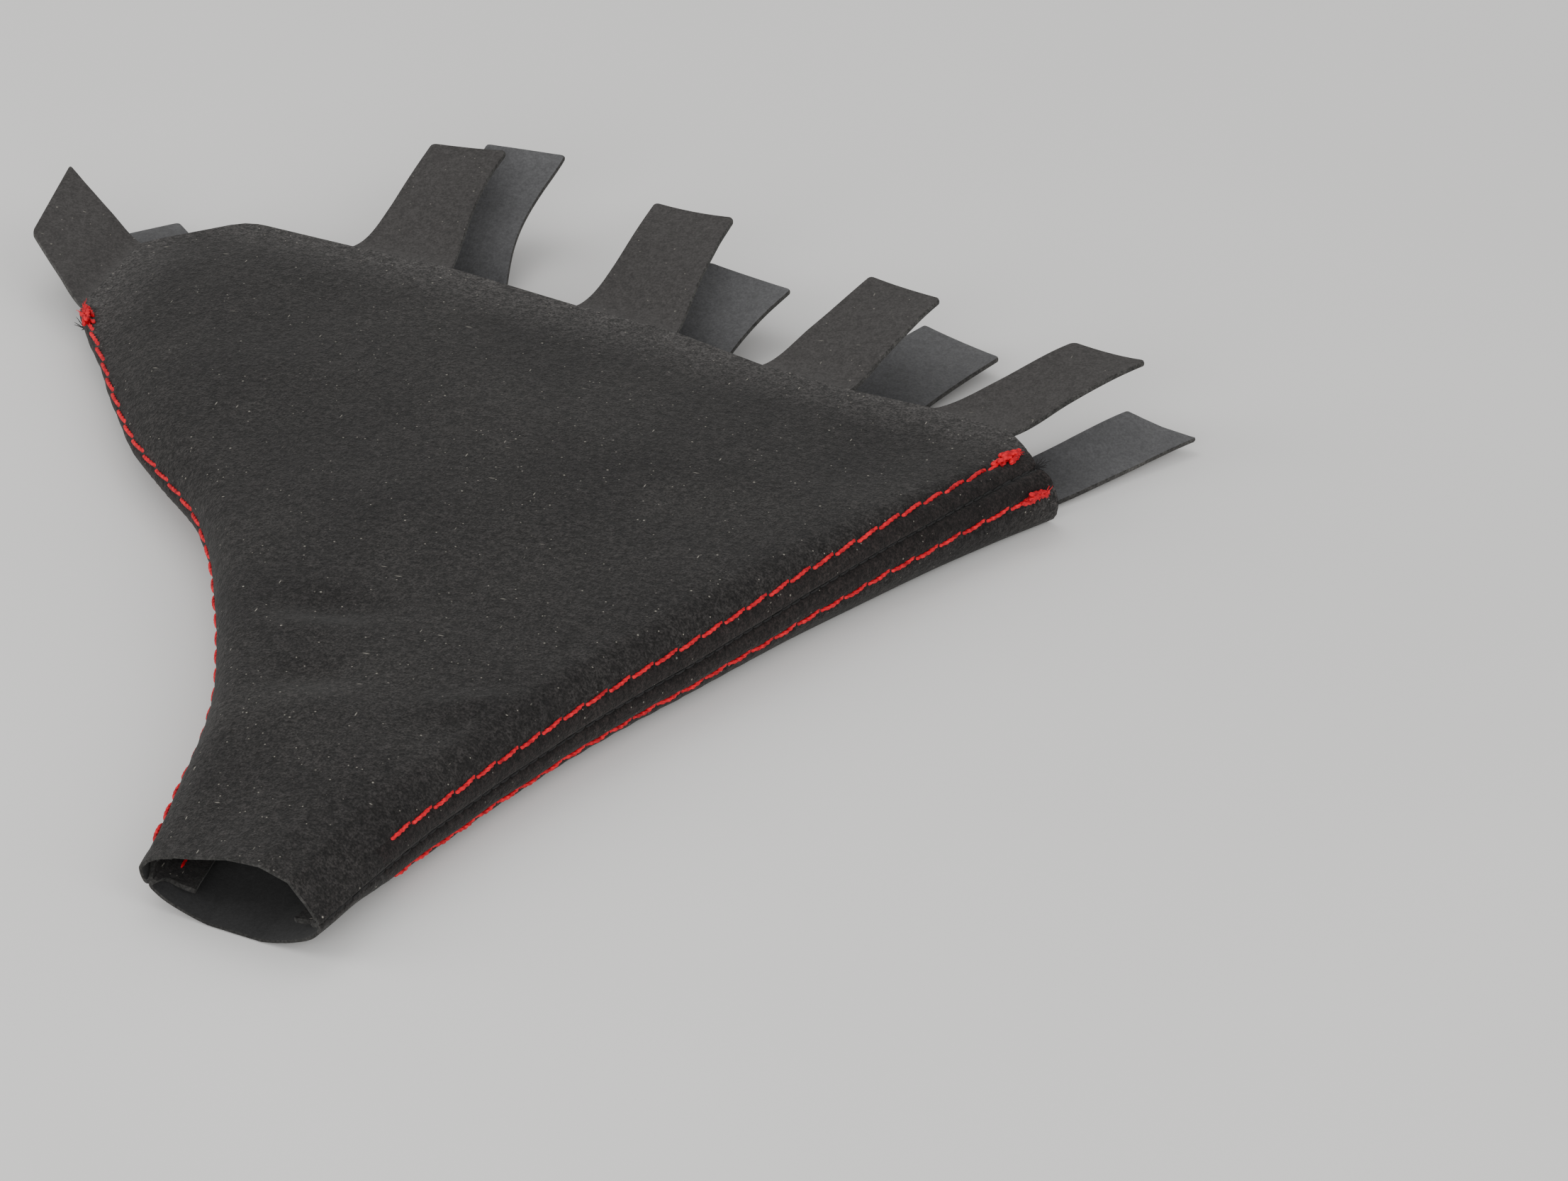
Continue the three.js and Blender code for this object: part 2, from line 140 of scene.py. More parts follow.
def even_curve(points, count=900):
    """A centripetal Catmull-Rom curve through the points, by even arc length."""
    p = np.array(points, float)
    p = np.vstack([2 * p[0] - p[1], p, 2 * p[-1] - p[-2]])
    found = []
    for i in range(1, len(p) - 2):
        d0, d1, d2 = (np.linalg.norm(p[i + k] - p[i + k - 1]) ** 0.5 for k in (0, 1, 2))
        m1 = ((p[i] - p[i - 1]) / d0 - (p[i + 1] - p[i - 1]) / (d0 + d1) + (p[i + 1] - p[i]) / d1) * d1
        m2 = ((p[i + 1] - p[i]) / d1 - (p[i + 2] - p[i]) / (d1 + d2) + (p[i + 2] - p[i + 1]) / d2) * d1
        t = np.linspace(0, 1, 80, endpoint=False)[:, None]
        a, b = p[i], p[i + 1]
        found.append(a + m1 * t + (3 * (b - a) - 2 * m1 - m2) * t**2 + (2 * (a - b) + m1 + m2) * t**3)
    line = np.vstack(found + [p[-2][None]])
    along = np.r_[0, np.cumsum(np.linalg.norm(np.diff(line, axis=0), axis=1))]
    at = np.linspace(0, along[-1], count)
    return np.stack([np.interp(at, along, line[:, k]) for k in range(3)], 1)


LEFT_LINE, RIGHT_LINE = even_curve(LEFT_EDGE), even_curve(RIGHT_EDGE)


def on_line(line, v):
    at = np.linspace(0, 1, len(line))
    return np.stack([np.interp(v, at, line[:, k]) for k in range(3)], -1)


# The front panel's rise over the neck, by the share of the way across it.
NECK_X = [0, 0.04, 0.1, 0.2, 0.3, 0.49, 0.67, 0.83, 0.92, 1]
NECK_RISE = [0, 1.9, 3.4, 4.7, 5.5, 7.6, 8.3, 7.2, 3.6, 0]


def smooth(t):
    t = np.clip(t, 0, 1)
    return t * t * (3 - 2 * t)


def seam_distance(place, length):
    """How far a place is from the left seam, on a section of that length."""
    kind, value = place
    if kind == "L":
        return value
    if kind == "R":
        return length - value
    return ALLOWANCE + value * (length - 2 * ALLOWANCE)


class Panel:
    """One panel's outer face: points by v (0 neck, 1 mouth) and by place across it.
    A place is ("L", mm from the left seam), ("R", mm from the right seam) or ("M", share between)."""

    def __init__(self, front):
        self.front = front
        self.mouth = np.array(FRONT_MOUTH if front else BACK_MOUTH, float)
        start, stop = FRONT_ROUND if front else BACK_ROUND
        self.level_angle = TOP if front else BOTTOM
        self.right_seam = 0.0 if front else 360.0
        left = np.linspace(start, self.level_angle, 60 if front else 40)
        right = np.linspace(self.level_angle, stop, 50)
        shares = np.linspace(0, 1, 240)[1:-1]
        # The outline's points are round the left edge (0), on the level part (1) or round the right edge (2).
        self.kind = np.r_[np.zeros(len(left)), np.ones(len(shares)), 2 * np.ones(len(right))]
        self.value = np.r_[left, shares, right]
        self.first_corner = FRONT_FIRST_CORNER if front else BACK_FIRST_CORNER
        self.fit_mouth()

    def round_point(self, side, angle, v):
        """Points at one angle round the left or the right edge, at each v."""
        left, right = on_line(LEFT_LINE, v), on_line(RIGHT_LINE, v)
        across = right - left
        across[..., 2] = 0
        across /= np.linalg.norm(across, axis=-1, keepdims=True)
        if side == "right":
            climb = RIGHT_SEAM_TURN * v**SEAM_TURN_POWER
            up = climb + angle * (1 - climb / TOP)
            down = BOTTOM + (angle - BOTTOM) * (1 + climb / TOP)
            angle = up if angle <= TOP else down
        turn = np.radians(angle)
        edge, sign, floor = (left, 1, SEAM_LIFT) if side == "left" else (right, -1, 0.0)
        out = edge + across * (EDGE_RADIUS * (sign + np.cos(turn)) * np.ones(len(v)))[:, None]
        top = np.interp(v, np.linspace(0, 1, len(TOP_HEIGHTS)), TOP_HEIGHTS)
        rise = np.sin(turn)
        reach = np.where(rise > 0, top - edge[..., 2], edge[..., 2] - floor)
        out[..., 2] = edge[..., 2] + rise * reach
        return out

    def section(self, v):
        """Dense outline of the panel's section at each v, and its distance from the left seam."""
        v = np.asarray(v, float)
        out = np.zeros((len(v), len(self.value), 3))
        a = self.round_point("left", self.level_angle, v)
        b = self.round_point("right", self.level_angle, v)
        for k, (kind, value) in enumerate(zip(self.kind, self.value)):
            if kind == 0:
                out[:, k] = self.round_point("left", value, v)
            elif kind == 2:
                out[:, k] = self.round_point("right", value, v)
            else:
                out[:, k] = a + (b - a) * value
                if not self.front:
                    out[:, k, 2] = a[:, 2] * max(0, 1 - value / SEAM_LIFT_SHARE)
        left, right = on_line(LEFT_LINE, v), on_line(RIGHT_LINE, v)
        chord = right - left
        width = np.linalg.norm(chord[:, :2], axis=1)
        share = np.einsum("vkj,vj->vk", out[..., :2] - left[:, None, :2], chord[:, :2])
        share = np.clip(share / (width**2)[:, None], 0, 1)
        level = left[:, None, 2] + share * chord[:, None, 2]
        near_neck = (1 - smooth(v / NECK_FADE))[:, None]
        if self.front:
            shaped = level + np.interp(share, NECK_X, NECK_RISE)
            above = out[..., 2] > level
            flat_part = np.clip(1 - np.abs(2 * share - 1) ** 2.4, 0, 1)
            out[..., 2] += CROWN * flat_part * ((1 - v**6) * (1 - near_neck[:, 0]))[:, None] * above
        else:
            shaped = level * (1 - np.sqrt(np.clip(1 - (2 * share - 1) ** 2, 0, 1)))
            above = out[..., 2] < level
        out[..., 2] = np.where(above, out[..., 2] * (1 - near_neck) + shaped * near_neck, out[..., 2])
        steps = np.linalg.norm(np.diff(out, axis=1), axis=2)
        along = np.concatenate([np.zeros((len(v), 1)), np.cumsum(steps, 1)], 1)
        seam = int(np.argmin(np.where(self.kind == 0, np.abs(self.value - LEFT_SEAM), np.inf)))
        far = int(np.argmin(np.where(self.kind == 2, np.abs(self.value - self.right_seam), np.inf)))
        along = along - along[:, seam : seam + 1]
        return out, along, along[:, far]

    def fit_mouth(self):
        """Finds where the mouth's corners are along its section, and the shift that takes it through them."""
        base, along, length = self.section(np.array([1.0]))
        base, along, length = base[0], along[0], length[0]
        a = self.round_point("left", self.level_angle, np.array([1.0]))[0]
        b = self.round_point("right", self.level_angle, np.array([1.0]))[0]
        flat = self.kind == 1
        at = [self.first_corner]
        for corner in self.mouth[1:]:
            share = min(max((corner[0] - a[0]) / (b[0] - a[0]), LEVEL_SHARES[0]), LEVEL_SHARES[1])
            at.append(float(np.interp(share, self.value[flat], along[flat])))
        self.corner_at, self.mouth_length = at, length
        self.base_along = along
        line_at, line = list(at), [c.copy() for c in self.mouth]
        peak = self.mouth[PEAK]
        before = peak + (self.mouth[PEAK - 1] - peak) * PEAK_ROUNDING
        after = peak + (self.mouth[PEAK + 1] - peak) * PEAK_ROUNDING
        s0 = at[PEAK] + (at[PEAK - 1] - at[PEAK]) * PEAK_ROUNDING
        s1 = at[PEAK] + (at[PEAK + 1] - at[PEAK]) * PEAK_ROUNDING
        rounded = []
        for t in np.linspace(0, 1, PEAK_STEPS):
            rounded.append((s0 * (1 - t) ** 2 + 2 * at[PEAK] * t * (1 - t) + s1 * t**2,
                            before * (1 - t) ** 2 + 2 * peak * t * (1 - t) + after * t**2))
        line_at[PEAK : PEAK + 1] = [r[0] for r in rounded]
        line[PEAK : PEAK + 1] = [r[1] for r in rounded]
        target = np.stack([np.interp(along, line_at, np.array(line)[:, k]) for k in range(3)], 1)
        shift = target - base
        first, last = (
            corner - np.array([np.interp(s, along, base[:, k]) for k in range(3)])
            for corner, s in ((self.mouth[0], at[0]), (self.mouth[-1], at[-1]))
        )
        low = np.clip(along / at[0], 0, 1)[:, None] * first
        high = np.clip((length - along) / (length - at[-1]), 0, 1)[:, None] * last
        shift = np.where((along < at[0])[:, None], low, shift)
        self.shift = np.where((along > at[-1])[:, None], high, shift)

    def places(self):
        """The columns between the two folds, closely spaced at the seams, with one at each corner."""
        inner = self.mouth_length - 2 * ALLOWANCE
        knots = [0.0] + [(s - ALLOWANCE) / inner for s in self.corner_at[1:]] + [1.0]
        middle = []
        for a, b in zip(knots, knots[1:]):
            count = max(1, math.ceil((b - a) * inner / COLUMN_STEP))
            middle += [("M", a + (b - a) * i / count) for i in range(count)]
        last = [("R", d) for d in [ALLOWANCE] + NEAR_SEAM[::-1]]
        return [("L", d) for d in NEAR_SEAM] + middle + last

    def corner_columns(self, places):
        """Which column ends at each corner of the mouth."""
        inner = self.mouth_length - 2 * ALLOWANCE
        found = [places.index(("L", self.first_corner))]
        between = [i for i, (kind, _) in enumerate(places) if kind == "M"]
        for s in self.corner_at[1:]:
            share = (s - ALLOWANCE) / inner
            found.append(min(between, key=lambda i: abs(places[i][1] - share)))
        return found

    def grid(self, v, places):
        """Points and outward normals, with the sewn-down look of the seams and the soft creases."""
        v = np.asarray(v, float)
        base, along, length = self.section(v)

        def at(offset):
            s = np.zeros((len(v), len(places)))
            end = np.zeros((len(v), len(places)))
            for k, place in enumerate(places):
                s[:, k] = seam_distance(place, length)
                end[:, k] = seam_distance(place, self.mouth_length)
            s = s + offset
            out = np.zeros((len(v), len(places), 3))
            for r in range(len(v)):
                for k in range(3):
                    out[r, :, k] = np.interp(s[r], along[r], base[r, :, k])
            end = end + offset
            for k in range(3):
                out[..., k] += np.interp(end, self.base_along, self.shift[:, k]) * (v**4)[:, None]
            return out, s

        points, s = at(0.0)
        across = at(0.3)[0] - at(-0.3)[0]
        ahead = self.ahead(v, places, at)
        normals = np.cross(across, ahead)
        normals /= np.linalg.norm(normals, axis=-1, keepdims=True)
        if not self.front:
            normals = -normals
        rise = self.relief(points, v, s, length)
        points = points + normals * rise[..., None]
        points[..., 2] = np.maximum(points[..., 2], FLOOR_GAP)
        return points, normals

    def ahead(self, v, places, at):
        """Towards the mouth, from the grid's own rows or, on a grid of one or two, from the plain shape."""
        if len(v) > 2:
            return np.gradient(at(0.0)[0], v, axis=0)
        step = 0.004
        near, far = np.clip(v - step, 0, 1), np.clip(v + step, 0, 1)
        return self.plain(far, places) - self.plain(near, places)

    def plain(self, v, places):
        """Points without the mouth's shape and the relief."""
        base, along, length = self.section(v)
        out = np.zeros((len(v), len(places), 3))
        for r in range(len(v)):
            s = [seam_distance(place, length[r]) for place in places]
            for k in range(3):
                out[r, :, k] = np.interp(s, along[r], base[r, :, k])
        return out

    def relief(self, points, v, s, length):
        """How far the face stands off its smooth shape, in millimetres."""
        x, y = points[..., 0], points[..., 1]
        vv = v[:, None]
        d_left, d_right = s, length[:, None] - s
        total = np.zeros_like(x)
        for d, start in ((d_left, 0.0), (d_right, 0.06)):
            sewn = smooth((vv - start) / 0.03) * (1 - 0.7 * smooth((vv - ROWS_END) / 0.03))
            hole = np.cos(2 * np.pi * vv * SEAM_LENGTH / PITCH)
            for height, at_hole, centre, wide in SEWN_LINES:
                total += sewn * (height + at_hole * hole) * np.exp(-(((d - centre) / wide) ** 2))
            total += 0.12 * np.sin(vv * 61 + d * 0.2) * np.exp(-(((d - 3) / 3) ** 2))
        inside = smooth((np.minimum(d_left, d_right) - 7) / 12) * (1 - smooth((vv - 0.93) / 0.07))
        wave = 0.0
        for amount, a, b, c in SWELLS:
            wave = wave + amount * np.sin(a * x + b * y + c)
        total += wave * inside
        if self.front:
            for cx, cy, wide, deep, turn, amount in CREASES:
                ca, sa = math.cos(math.radians(turn)), math.sin(math.radians(turn))
                p = (x - cx) * ca + (y - cy) * sa
                q = -(x - cx) * sa + (y - cy) * ca
                total += amount * np.exp(-((p / wide) ** 2) - (q / deep) ** 2) * inside
        return total


# Where the rows of stitches end, as a share of the seam.
ROWS_END = 0.955

# The groove under each row and the swells beside it: height, what a hole adds, distance from seam, width.
SEWN_LINES = [(-0.3, -0.1, ROW_OFFSET, 0.5), (0.22, 0.06, 2.4, 1.1), (0.16, 0.08, 6.6, 1.6)]

# Long soft swells of both faces: height, turn per mm of x and of y, and start.
SWELLS = [
    (0.42, 0.031, 0.045, 0.3), (0.3, 0.055, -0.038, 1.7), (0.16, -0.08, 0.07, 4.1), (0.1, 0.12, 0.11, 2.2),
]

# Soft dents and ridges of the front: centre x and y, half length, half width, turn, height.
CREASES = [
    (-13, 87, 10, 5.5, 8, -1.5), (-14, 79, 9, 4.5, 8, 0.7), (-7, 62, 8, 6.0, 10, -1.5),
    (-6, 50, 12, 7.0, 20, 0.6), (27, 62, 13, 3.6, 25, 1.0), (33, 54, 14, 5.0, 25, -0.9),
    (22, 88, 20, 7.0, -38, -0.45), (-62, 175, 26, 14, 40, 0.5), (-98, 226, 14, 5, 80, 0.5),
]


# ------------------------------------------------------------------ mesh maker

# Where a sheet's materials are in its list: face, backing, raw edge and rubbed face.
FACE_INDEX, BACKING_INDEX, EDGE_INDEX, RUBBED_INDEX = 0, 1, 2, 3
EDGE_BULGE = 0.14


def new_object(name, points, faces, materials, face_material=None):
    """A smooth object, with sharp edges only between its face, backing and raw edge."""
    mesh = bpy.data.meshes.new(name)
    mesh.from_pydata([tuple(p) for p in to_frame(points)], [], faces)
    for m in materials:
        mesh.materials.append(m)
    index = np.zeros(len(mesh.polygons), np.int32)
    if face_material is not None:
        index[:] = face_material
    mesh.polygons.foreach_set("material_index", index)
    mesh.polygons.foreach_set("use_smooth", np.ones(len(mesh.polygons), bool))
    if len(materials) > 1:
        loops = np.zeros(len(mesh.loops), np.int32)
        mesh.loops.foreach_get("edge_index", loops)
        counts = np.zeros(len(mesh.polygons), np.int32)
        mesh.polygons.foreach_get("loop_total", counts)
        owner = np.repeat(np.where(index == RUBBED_INDEX, FACE_INDEX, index), counts)
        low = np.full(len(mesh.edges), 99)
        high = np.full(len(mesh.edges), -1)
        np.minimum.at(low, loops, owner)
        np.maximum.at(high, loops, owner)
        mesh.edges.foreach_set("use_edge_sharp", low != high)
    mesh.update()
    mesh.validate()
    obj = bpy.data.objects.new(name, mesh)
    bpy.context.scene.collection.objects.link(obj)
    return obj


def closed_sheet(name, outer, inner, materials, flip, rubbed=None):
    """A sheet with softly rounded raw edges between its outer and inner grids of points.
    The outer face has its last material where the rubbed mask is true."""
    rows, cols = outer.shape[:2]
    layer = rows * cols
    points = [outer.reshape(-1, 3), inner.reshape(-1, 3)]
    faces, kinds = [], []

    def add(quad, kind):
        faces.append(quad[::-1] if flip else quad)
        kinds.append(kind)

    for r in range(rows - 1):
        for c in range(cols - 1):
            a = r * cols + c
            outside = RUBBED_INDEX if rubbed is not None and rubbed[r, c] else FACE_INDEX
            add((a, a + 1, a + cols + 1, a + cols), outside)
            add((layer + a, layer + a + cols, layer + a + cols + 1, layer + a + 1), BACKING_INDEX)
    ring = [(0, c) for c in range(cols - 1)] + [(r, cols - 1) for r in range(rows - 1)]
    ring += [(rows - 1, c) for c in range(cols - 1, 0, -1)] + [(r, 0) for r in range(rows - 1, 0, -1)]
    middle = []
    for r, c in ring:
        rr, cc = min(max(r, 1), rows - 2), min(max(c, 1), cols - 2)
        out = outer[r, c] - outer[rr, cc]
        out = out / max(np.linalg.norm(out), 1e-9)
        middle.append((outer[r, c] + inner[r, c]) / 2 + out * EDGE_BULGE)
    points.append(np.array(middle))
    base = 2 * layer
    for k in range(len(ring)):
        n = (k + 1) % len(ring)
        a, b = ring[k][0] * cols + ring[k][1], ring[n][0] * cols + ring[n][1]
        add((a, base + k, base + n, b), EDGE_INDEX)
        add((base + k, layer + a, layer + b, base + n), EDGE_INDEX)
    return new_object(name, np.vstack(points), faces, materials, kinds)


# ------------------------------------------------------------------- materials

def material(name):
    """A new material, with its nodes, links and shader."""
    m = bpy.data.materials.new(name)
    m.use_nodes = True
    nodes, links = m.node_tree.nodes, m.node_tree.links
    shader = nodes["Principled BSDF"]
    return m, nodes, links, shader


def noise(nodes, links, coords, scale, detail, roughness=0.55, stretch=None):
    """A noise texture on the coordinates, which may be stretched first."""
    n = nodes.new("ShaderNodeTexNoise")
    n.inputs["Scale"].default_value = scale
    n.inputs["Detail"].default_value = detail
    n.inputs["Roughness"].default_value = roughness
    if stretch:
        m = nodes.new("ShaderNodeMapping")
        m.inputs["Scale"].default_value = stretch
        links.new(coords, m.inputs["Vector"])
        coords = m.outputs["Vector"]
    links.new(coords, n.inputs["Vector"])
    return n


def ramp(nodes, links, source, stops):
    """A colour ramp on a source; each stop is a place and a colour."""
    r = nodes.new("ShaderNodeValToRGB")
    elements = r.color_ramp.elements
    while len(elements) < len(stops):
        elements.new(0.5)
    for element, (at, colour) in zip(elements, stops):
        element.position = at
        element.color = (*colour, 1)
    links.new(source, r.inputs["Fac"])
    return r


def linear(rgb):
    """A linear colour from an 8-bit sRGB one."""
    return tuple(((c / 255 + 0.055) / 1.055) ** 2.4 if c > 10 else c / 255 / 12.92 for c in rgb)


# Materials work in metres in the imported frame. The mouth is where y + x / 4 reaches the first of these, and
# the first tab starts where -x reaches the second.
MOUTH_LINE = 0.0879
FIRST_TAB = 0.0991
# How far past those lines the painted light of the paler band at the mouth starts and is whole, and the
# stretch of y over which the painted shade at the neck fades.
RIM_FROM, RIM_TO = -0.02, 0.001
NECK_SHADE_FROM, NECK_SHADE_TO = -0.135, -0.05

# Layers of lint: how close the cells are, their stretch, the share left empty and the fleck's size.
LINT = [
    (340, None, 0.66, 0.09), (640, None, 0.62, 0.12),
    (560, (1.0, 0.16, 1.0), 0.7, 0.075), (520, (0.16, 1.0, 1.0), 0.7, 0.075),
]


def lint_layer(nodes, links, coords, colour, scale, stretch, few, size, weight):
    """Pale flecks of lint over a colour, in the few cells that a threshold leaves."""
    if stretch:
        m = nodes.new("ShaderNodeMapping")
        m.inputs["Scale"].default_value = stretch
        m.inputs["Rotation"].default_value = (0, 0, 0.5)
        links.new(coords, m.inputs["Vector"])
        coords = m.outputs["Vector"]
    dots = nodes.new("ShaderNodeTexVoronoi")
    dots.inputs["Scale"].default_value = scale
    links.new(coords, dots.inputs["Vector"])
    dot = ramp(nodes, links, dots.outputs["Distance"], [(size * 0.5, (1, 1, 1)), (size, (0, 0, 0))])
    chosen = ramp(nodes, links, dots.outputs["Color"], [(few, (0, 0, 0)), (few + 0.03, (1, 1, 1))])
    both = nodes.new("ShaderNodeMath")
    both.operation = "MULTIPLY"
    links.new(dot.outputs["Color"], both.inputs[0])
    links.new(chosen.outputs["Color"], both.inputs[1])
    share = nodes.new("ShaderNodeMath")
    share.operation = "MULTIPLY"
    share.inputs[1].default_value = weight
    links.new(both.outputs[0], share.inputs[0])
    mix = nodes.new("ShaderNodeMix")
    mix.data_type = "RGBA"
    mix.inputs[7].default_value = (*linear((150, 146, 136)), 1)
    links.new(share.outputs[0], mix.inputs["Factor"])
    links.new(colour, mix.inputs[6])
    return mix.outputs[2]


def painted_mouth_light(nodes, links, coords, colour, rim):
    """Painted light: the colour turns to the paler rim tone over the last 20 mm before the mouth and its
    first tab.
    """
    split = nodes.new("ShaderNodeSeparateXYZ")
    links.new(coords, split.inputs[0])
    past = []
    for source, factor, added in (("X", 0.25, "Y"), ("X", -1.0, None)):
        run = nodes.new("ShaderNodeMath")
        run.operation = "MULTIPLY_ADD"
        run.inputs[1].default_value = factor
        run.inputs[2].default_value = 0.0
        links.new(split.outputs[source], run.inputs[0])
        if added:
            links.new(split.outputs[added], run.inputs[2])
        shifted = nodes.new("ShaderNodeMath")
        shifted.operation = "SUBTRACT"
        shifted.inputs[1].default_value = MOUTH_LINE if added else FIRST_TAB
        links.new(run.outputs[0], shifted.inputs[0])
        past.append(shifted)
    furthest = nodes.new("ShaderNodeMath")
    furthest.operation = "MAXIMUM"
    links.new(past[0].outputs[0], furthest.inputs[0])
    links.new(past[1].outputs[0], furthest.inputs[1])
    share = nodes.new("ShaderNodeMapRange")
    share.interpolation_type = "SMOOTHSTEP"
    share.inputs["From Min"].default_value = RIM_FROM
    share.inputs["From Max"].default_value = RIM_TO
    links.new(furthest.outputs[0], share.inputs["Value"])
    mix = nodes.new("ShaderNodeMix")
    mix.data_type = "RGBA"
    mix.inputs[7].default_value = (*rim, 1)
    links.new(share.outputs["Result"], mix.inputs["Factor"])
    links.new(colour, mix.inputs[6])
    return mix.outputs[2]


def suede(name, dark, light, lint, nap, sheen, grit, neck_shade=1.0, rim=None):
    """Suede between two tones. Lint, nap and grit set its flecks, bump and grain, neck_shade how dark the
    painted shade makes it at the neck, and rim the paler tone of painted light at the mouth."""
    m, nodes, links, shader = material(name)
    coords = nodes.new("ShaderNodeTexCoord").outputs["Object"]
    broad = noise(nodes, links, coords, 38, 5, 0.6)
    grain = noise(nodes, links, coords, 700, 4, 0.75)
    coarse = ramp(nodes, links, grain.outputs["Fac"], [(0.4, (0.12, 0.12, 0.12)), (0.6, (0.88, 0.88, 0.88))])
    fibre = noise(nodes, links, coords, 420, 4, 0.7, (1.0, 0.35, 1.0))
    base = ramp(nodes, links, broad.outputs["Fac"], [(0.3, dark), (0.7, light)])
    pepper = noise(nodes, links, coords, 2100, 2, 0.6)
    fine = ramp(nodes, links, pepper.outputs["Fac"], [(0.38, (0.1, 0.1, 0.1)), (0.62, (0.9, 0.9, 0.9))])
    colour = base.outputs["Color"]
    # Painted light: a paler band towards the mouth and the first tab.
    if rim:
        colour = painted_mouth_light(nodes, links, coords, colour, rim)
    for source, factor in ((coarse.outputs["Color"], 0.4 * grit), (fine.outputs["Color"], 0.5 * grit)):
        speckle = nodes.new("ShaderNodeMix")
        speckle.data_type = "RGBA"
        speckle.blend_type = "OVERLAY"
        speckle.inputs["Factor"].default_value = factor
        links.new(colour, speckle.inputs[6])
        links.new(source, speckle.inputs[7])
        colour = speckle.outputs[2]
    if lint:
        for scale, stretch, few, size in LINT:
            colour = lint_layer(nodes, links, coords, colour, scale, stretch, few, size, lint)
    # Painted shade: the colour darkens towards the neck, where the inside of the sleeve lies in shade.
    if neck_shade < 1:
        split = nodes.new("ShaderNodeSeparateXYZ")
        links.new(coords, split.inputs[0])
        near = nodes.new("ShaderNodeMapRange")
        near.inputs["From Min"].default_value = NECK_SHADE_FROM
        near.inputs["From Max"].default_value = NECK_SHADE_TO
        near.inputs["To Min"].default_value = neck_shade
        links.new(split.outputs["Y"], near.inputs["Value"])
        shaded = nodes.new("ShaderNodeMix")
        shaded.data_type = "RGBA"
        shaded.blend_type = "MULTIPLY"
        shaded.inputs["Factor"].default_value = 1
        links.new(colour, shaded.inputs[6])
        links.new(near.outputs["Result"], shaded.inputs[7])
        colour = shaded.outputs[2]
    links.new(colour, shader.inputs["Base Color"])
    shader.inputs["Roughness"].default_value = 0.95
    shader.inputs["Specular IOR Level"].default_value = 0.25
    shader.inputs["Sheen Weight"].default_value = sheen
    shader.inputs["Sheen Roughness"].default_value = 0.5
    shader.inputs["Sheen Tint"].default_value = (*linear((190, 190, 186)), 1)
    height = nodes.new("ShaderNodeMath")
    height.operation = "ADD"
    links.new(grain.outputs["Fac"], height.inputs[0])
    links.new(fibre.outputs["Fac"], height.inputs[1])
    bump = nodes.new("ShaderNodeBump")
    bump.inputs["Strength"].default_value = nap
    bump.inputs["Distance"].default_value = 0.0004
    links.new(height.outputs[0], bump.inputs["Height"])
    links.new(bump.outputs["Normal"], shader.inputs["Normal"])
    return m


def thread(name, dark, light, roughness=0.6):
    """Thread that varies between two tones."""
    m, nodes, links, shader = material(name)
    coords = nodes.new("ShaderNodeTexCoord").outputs["Object"]
    spots = noise(nodes, links, coords, 900, 3, 0.6)
    tone = ramp(nodes, links, spots.outputs["Fac"], [(0.3, dark), (0.65, light)])
    links.new(tone.outputs["Color"], shader.inputs["Base Color"])
    shader.inputs["Roughness"].default_value = roughness
    shader.inputs["Specular IOR Level"].default_value = 0.3
    fibres = noise(nodes, links, coords, 2600, 2, 0.6)
    bump = nodes.new("ShaderNodeBump")
    bump.inputs["Strength"].default_value = 0.3
    bump.inputs["Distance"].default_value = 0.0002
    links.new(fibres.outputs["Fac"], bump.inputs["Height"])
    links.new(bump.outputs["Normal"], shader.inputs["Normal"])
    return m


# The tab face and the mouth band are paler than the panel face: painted light for the light the raised tabs
# catch. The rubbed face's mouth tone is the same painted light.
PAINTED_LIGHT_TAB_TONE = linear((56, 54, 53))
FACE = suede("suede_face", linear((27, 25, 25)), linear((38, 36, 35)), 0.75, nap=0.9, sheen=0.1, grit=1.5,
             rim=PAINTED_LIGHT_TAB_TONE)
RUBBED = suede("suede_rubbed", linear((19, 15, 15)), linear((32, 27, 26)), 0.5, nap=1.0, sheen=0.12, grit=1.5,
               rim=linear((38, 34, 33)))
TAB_FACE_PAINTED_LIGHT = suede("suede_tab_face_painted_light", linear((54, 52, 51)), linear((59, 57, 56)), 0.4, nap=0.3, sheen=0.1,
                 grit=0.5)
# The backing and the raw edge carry painted shade near the neck.
BACKING = suede("suede_backing", linear((78, 78, 79)), linear((88, 88, 89)), 0, nap=0.25, sheen=0.12,
                grit=0.3, neck_shade=0.28)
EDGE = suede("suede_edge", linear((46, 45, 44)), linear((66, 65, 63)), 0, nap=0.6, sheen=0.15, grit=1.0,
             neck_shade=0.6)
RED = thread("red_thread", linear((120, 0, 12)), linear((232, 6, 34)))
BLACK = thread("black_thread", linear((16, 16, 16)), linear((34, 33, 33)), 0.75)
SKIN = [FACE, BACKING, EDGE, RUBBED]
TAB_SKIN = [TAB_FACE_PAINTED_LIGHT, BACKING, EDGE]


# ---------------------------------------------------------------------- panels

ROWS = 190
V = np.unique(np.r_[0, 0.004, 0.01, np.linspace(0, 1, ROWS), 0.99, 0.996])
FOLD_STEPS = 9


